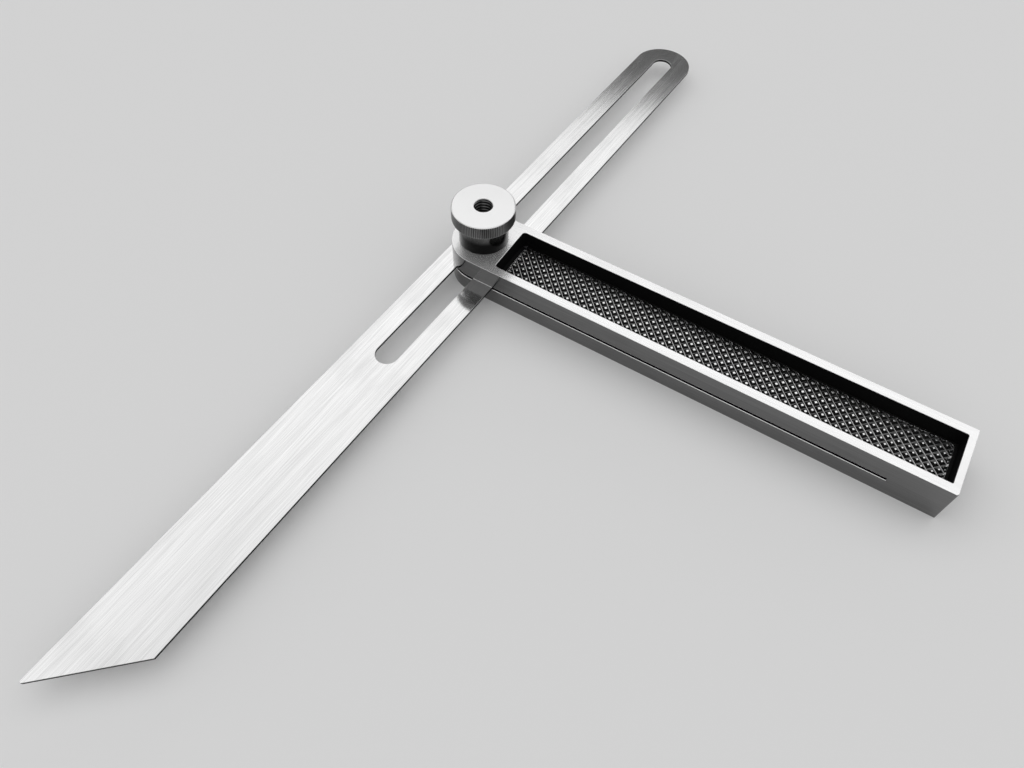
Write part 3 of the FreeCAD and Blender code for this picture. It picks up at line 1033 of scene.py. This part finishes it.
@dataclass
class ThumbNut:
    """The knurled rim on a plain boss, with a tapped hole right through."""

    finishes: Sequence[Material]
    rim: float = 17.3 * MM
    rim_thickness: float = 4.0 * MM
    rim_edge: float = 0.35 * MM
    edge_steps: int = 3
    boss: float = 13.6 * MM
    boss_chamfer: float = 0.2 * MM
    core: float = 5.0 * MM
    mouth: float = 0.15 * MM
    teeth: int = 108
    tooth_steps: int = 4
    tooth_depth: float = 0.22 * MM
    thread_pitch: float = 1.0 * MM
    thread_depth: float = 0.5 * MM
    thread_start: float = 4.5 * MM
    thread_rings: int = 6

    def build(self) -> None:
        """Build the nut."""
        low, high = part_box("thumb_nut")
        piece = Workpiece("knurled_nut")
        self._spin(piece, self._profile(high.z - low.z), low.z)
        self._finish_faces(piece, high.z)
        self._knurl(piece)
        self._cut_thread(piece, low.z + self.thread_start, high.z - self.mouth)
        piece.finish("nut", "nut_steel", "thumb_nut", self.finishes)

    def _finish_faces(self, piece: Workpiece, top: float) -> None:
        """Give the rim's edge, the boss and the hole their own darker finishes of painted shade.

        Args:
            piece: The nut.
            top: Height of its top.
        """
        core, boss, rim = self.core / 2, self.boss / 2, self.rim / 2
        under = top - self.rim_thickness
        for face in piece.bm.faces:
            radii = [vert.co.xy.length for vert in face.verts]
            radius, least = max(radii), min(radii)
            height = face.calc_center_median().z
            if radius < core + TINY:
                face.material_index = NutFinish.PAINTED_SHADE_HOLE
            elif least > rim - self.rim_edge - TINY and height < top - self.rim_edge:
                face.material_index = NutFinish.PAINTED_SHADE_KNURL
            elif boss - TINY < radius < boss + self.boss_chamfer + TINY and height < under:
                face.material_index = NutFinish.PAINTED_SHADE_BOSS

    def _profile(self, height: float) -> list[Pair]:
        """Draw the turned section, from the bore's foot round to it.

        Args:
            height: The nut's height.

        Returns:
            Points as radius and height above the nut's foot.
        """
        under = height - self.rim_thickness
        core, boss, rim = self.core / 2, self.boss / 2, self.rim / 2
        outside = [
            (core + self.mouth, 0.0),
            (boss - self.boss_chamfer, 0.0),
            (boss, self.boss_chamfer),
            (boss, under - self.boss_chamfer),
            (boss + self.boss_chamfer, under),
            *self._rounding(rim, under, -90),
            *self._rounding(rim, height, 0),
            (core + self.mouth, height),
            (core, height - self.mouth),
        ]
        run = height - self.mouth - self.thread_start
        count = round(run / self.thread_pitch * self.thread_rings)
        thread = [(core, height - self.mouth - run * step / count)
                  for step in range(1, count + 1)]
        return [*outside, *thread, (core, self.mouth)]

    def _rounding(self, radius: float, level: float, start: float) -> list[Pair]:
        """Points round one edge of the rim.

        Args:
            radius: The rim's radius.
            level: Height of the flat beside the edge.
            start: Direction of the first point in degrees.

        Returns:
            Points as radius and height, going up.
        """
        size = self.rim_edge
        middle = level + (size if start < 0 else -size)
        turns = [math.radians(start + 90 * step / self.edge_steps)
                 for step in range(self.edge_steps + 1)]
        return [(radius - size + size * math.cos(turn), middle + size * math.sin(turn))
                for turn in turns]

    def _spin(self, piece: Workpiece, profile: Sequence[Pair], base: float) -> None:
        """Turn the section about the screw's axis.

        Args:
            piece: The nut.
            profile: Points as radius and height.
            base: Height of the nut's foot.
        """
        verts = [piece.bm.verts.new((radius, 0, base + height))
                 for radius, height in profile]
        edges = [piece.bm.edges.new((vert, verts[index - 1]))
                 for index, vert in enumerate(verts)]
        bmesh.ops.spin(piece.bm, geom=[*verts, *edges], cent=(0, 0, 0), axis=(0, 0, 1),
                       dvec=(0, 0, 0), angle=2 * math.pi, space=Matrix.Identity(4),
                       steps=self.teeth * self.tooth_steps, use_merge=True)

    def _knurl(self, piece: Workpiece) -> None:
        """Press the straight knurl into the rim.

        Args:
            piece: The nut.
        """
        rim = self.rim / 2
        for vert in piece.bm.verts:
            if vert.co.xy.length > rim - TINY:
                turn = math.atan2(vert.co.y, vert.co.x) * self.teeth
                depth = self.tooth_depth * (0.5 - 0.5 * math.cos(turn))
                share = 1 - depth / rim
                vert.co.x *= share
                vert.co.y *= share

    def _cut_thread(self, piece: Workpiece, low: float, high: float) -> None:
        """Cut the thread that shows in the tapped hole.

        Args:
            piece: The nut.
            low: Height where it starts.
            high: Height where it ends.
        """
        core = self.core / 2
        for vert in piece.bm.verts:
            deep = low < vert.co.z < high - TINY
            if deep and abs(vert.co.xy.length - core) < TINY:
                turn = math.atan2(vert.co.y, vert.co.x) / (2 * math.pi)
                phase = (vert.co.z / self.thread_pitch - turn) % 1.0
                share = 1 + self.thread_depth * (1 - abs(2 * phase - 1)) / core
                vert.co.x *= share
                vert.co.y *= share


def dress_screw(finish: Material) -> None:
    """Give the clamp screw's frame node its finish.

    Args:
        finish: The material.
    """
    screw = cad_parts["clamp_screw"]
    screw.data.materials.clear()
    screw.data.materials.append(finish)
    LOG.info("clamp_screw: kept from the frame")


@dataclass(frozen=True)
class Studio:
    """The floor, the light and the camera."""

    floor_half: float = 4.0
    floor_gap: float = 0.02 * MM
    floor_level: float = 0.84
    floor_roughness: float = 0.9
    floor_gloss: float = 0.1
    place: Triple = (0.086044, -0.129132, 0.168468)
    right: Triple = (0.85032, 0.52602, 0.01588)
    up: Triple = (-0.44319, 0.69951, 0.56060)
    lens: float = 27.63
    clip_start: float = 0.01
    clip_end: float = 50.0
    dome: tuple[Pair, ...] = (
        (0.0, 0.60), (0.5, 0.74), (0.60, 1.02), (0.72, 1.12), (0.79, 1.10),
        (0.86, 1.02), (0.90, 0.92), (1.0, 0.92))
    far_side: Triple = (-0.506, 0.862, 0.0)
    far_reach: Pair = (-0.6, 0.2)
    near_share: float = 0.88
    card_facing: Pair = (0.60, 0.75)
    card_top: Pair = (0.592, 0.572)
    card_foot: Pair = (0.34, 0.42)
    card_share: float = 0.88
    flag_facing: Pair = (0.40, 0.03)
    flag_foot: Pair = (0.55, 0.61)
    flag_top: Pair = (0.83, 0.76)
    flag_share: float = 0.5

    def set_floor(self) -> None:
        """Lay the pale floor."""
        bm = bmesh.new()
        bmesh.ops.create_grid(bm, x_segments=1, y_segments=1, size=self.floor_half,
                              matrix=Matrix.Translation((0, 0, -self.floor_gap)))
        mesh = bpy.data.meshes.new("floor")
        bm.to_mesh(mesh)
        bm.free()
        material, shading = new_material("floor_card")
        surface = shading.node("BsdfPrincipled", Base_Color=grey(self.floor_level),
                               Roughness=self.floor_roughness, Specular_IOR_Level=self.floor_gloss)
        shading.node("OutputMaterial", Surface=surface)
        mesh.materials.append(material)
        floor = bpy.data.objects.new("floor", mesh)
        bpy.context.scene.collection.objects.link(floor)

    def set_light(self) -> None:
        """Light the set with a soft dome, a little brighter on the far side.

        Bright metal also mirrors a dark card low on that side, and a half-dark flag above
        and beside the card.
        """
        world = bpy.data.worlds.new("studio")
        world.use_nodes = True
        bpy.context.scene.world = world
        shading = Shading(world.node_tree)
        ray = shading.node("TexCoord", output="Generated")
        height = shading.node("SeparateXYZ", output="Z", Vector=ray)
        dome = shading.node("ValToRGB", {"stops": self.dome}, Fac=height)
        facing = shading.node("VectorMath", {"operation": "DOT_PRODUCT"}, "Value",
                              Vector=ray, Vector_001=self.far_side)
        share = shading.rise(facing, self.far_reach) * (1 - self.near_share)
        card = (shading.rise(facing, self.card_facing) * shading.rise(height, self.card_top)
                * shading.rise(height, self.card_foot))
        flag = (shading.rise(facing, self.flag_facing) * shading.rise(height, self.flag_foot)
                * shading.rise(height, self.flag_top))
        strength = ((share + self.near_share) * (1 - card * self.card_share)
                    * (1 - flag * self.flag_share))
        light = shading.node("Background", Color=dome, Strength=strength)
        shading.node("OutputWorld", Surface=light)

    def set_camera(self) -> None:
        """Put the camera where the photograph was taken."""
        data = bpy.data.cameras.new("camera")
        data.lens = self.lens
        data.clip_start = self.clip_start
        data.clip_end = self.clip_end
        camera = bpy.data.objects.new("camera", data)
        right = Vector(self.right).normalized()
        back = right.cross(Vector(self.up)).normalized()
        up = back.cross(right)
        turn = Matrix((right, up, back)).transposed().to_4x4()
        camera.matrix_world = Matrix.Translation(self.place) @ turn
        bpy.context.scene.collection.objects.link(camera)
        bpy.context.scene.camera = camera


def main() -> None:
    """Build the set square and its studio."""
    bpy.context.scene.view_settings.view_transform = "Standard"
    studio = Studio()
    studio.set_camera()
    studio.set_floor()
    studio.set_light()

    stock = Stock([
        BrushedSteel("jaw_face", dark=0.86, light=1.0, roughness=0.24,
                     metallic=0.75, groove_depth=0.01 * MM).material(),
        # Black painted shade for the slit and the recess.
        MottledSteel("steel_painted_shade", dark=0.003, light=0.008, roughness=0.7,
                     metallic=0.0, gloss=0.04).material(),
        # The outer sides: a darker copy of the brushed steel, as painted shade.
        BrushedSteel("jaw_side", dark=0.165, light=0.23).material(),
    ])
    stock.upper()
    stock.lower()

    inlay = GripInlay([
        # Black painted shade for the knurl's flanks and the plain border.
        MottledSteel("grip_painted_shade", dark=0.004, light=0.012, roughness=0.6,
                     metallic=0.0, gloss=0.05).material(),
        MottledSteel("grip_tips", dark=0.85, light=1.0, roughness=0.3).material(),
        MottledSteel("grip_grooves", dark=0.5, light=0.9, roughness=0.4).material(),
        # Darker copy of the groove finish for one diagonal family, as painted shade.
        MottledSteel("grip_cross_grooves_painted_shade", dark=0.08, light=0.3, roughness=0.4).material(),
        # Painted light on the far-facing flanks, fading in along X.
        MottledSteel("grip_flank_painted_light", dark=0.3, light=0.8, roughness=0.45,
                     painted_light_along=GripInlay.far_rows).material(),
    ])
    for facing in Facing:
        inlay.build(facing)

    Blade([
        BrushedSteel("blade_brushed", dark=0.68, light=0.94, roughness=0.10,
                     turn=Blade.turn).material(),
        # Near black painted shade for the blade's upright walls.
        MottledSteel("blade_edge_painted_shade", dark=0.012, light=0.03, roughness=0.5).material(),
    ]).build()

    ThumbNut([
        TurnedSteel("nut_turned").material(),
        # Knurled rim: dark painted shade, darker still towards the bottoms of the knurl's grooves.
        TurnedSteel("nut_knurl_painted_shade", dark=0.23, light=0.31, roughness=0.3,
                    painted_shade_radius=(8.62 * MM, 8.46 * MM), painted_shade_level=0.06).material(),
        # Boss: painted dark reflection all round, with painted shade darkening towards its foot on
        # the stock.
        TurnedSteel("nut_boss_painted_shade", dark=0.10, light=0.15, roughness=0.2,
                    painted_shade_height=(17.4 * MM, 14.8 * MM), painted_shade_level=0.008).material(),
        # Tapped hole: painted shade, darker still in the thread's grooves.
        TurnedSteel("nut_thread_painted_shade", dark=0.16, light=0.24, roughness=0.35,
                    painted_shade_radius=(2.55 * MM, 2.8 * MM), painted_shade_level=0.01).material(),
    ]).build()
    dress_screw(TurnedSteel("screw_turned", dark=0.60, light=0.72).material())


if __name__ == "__main__":
    main()
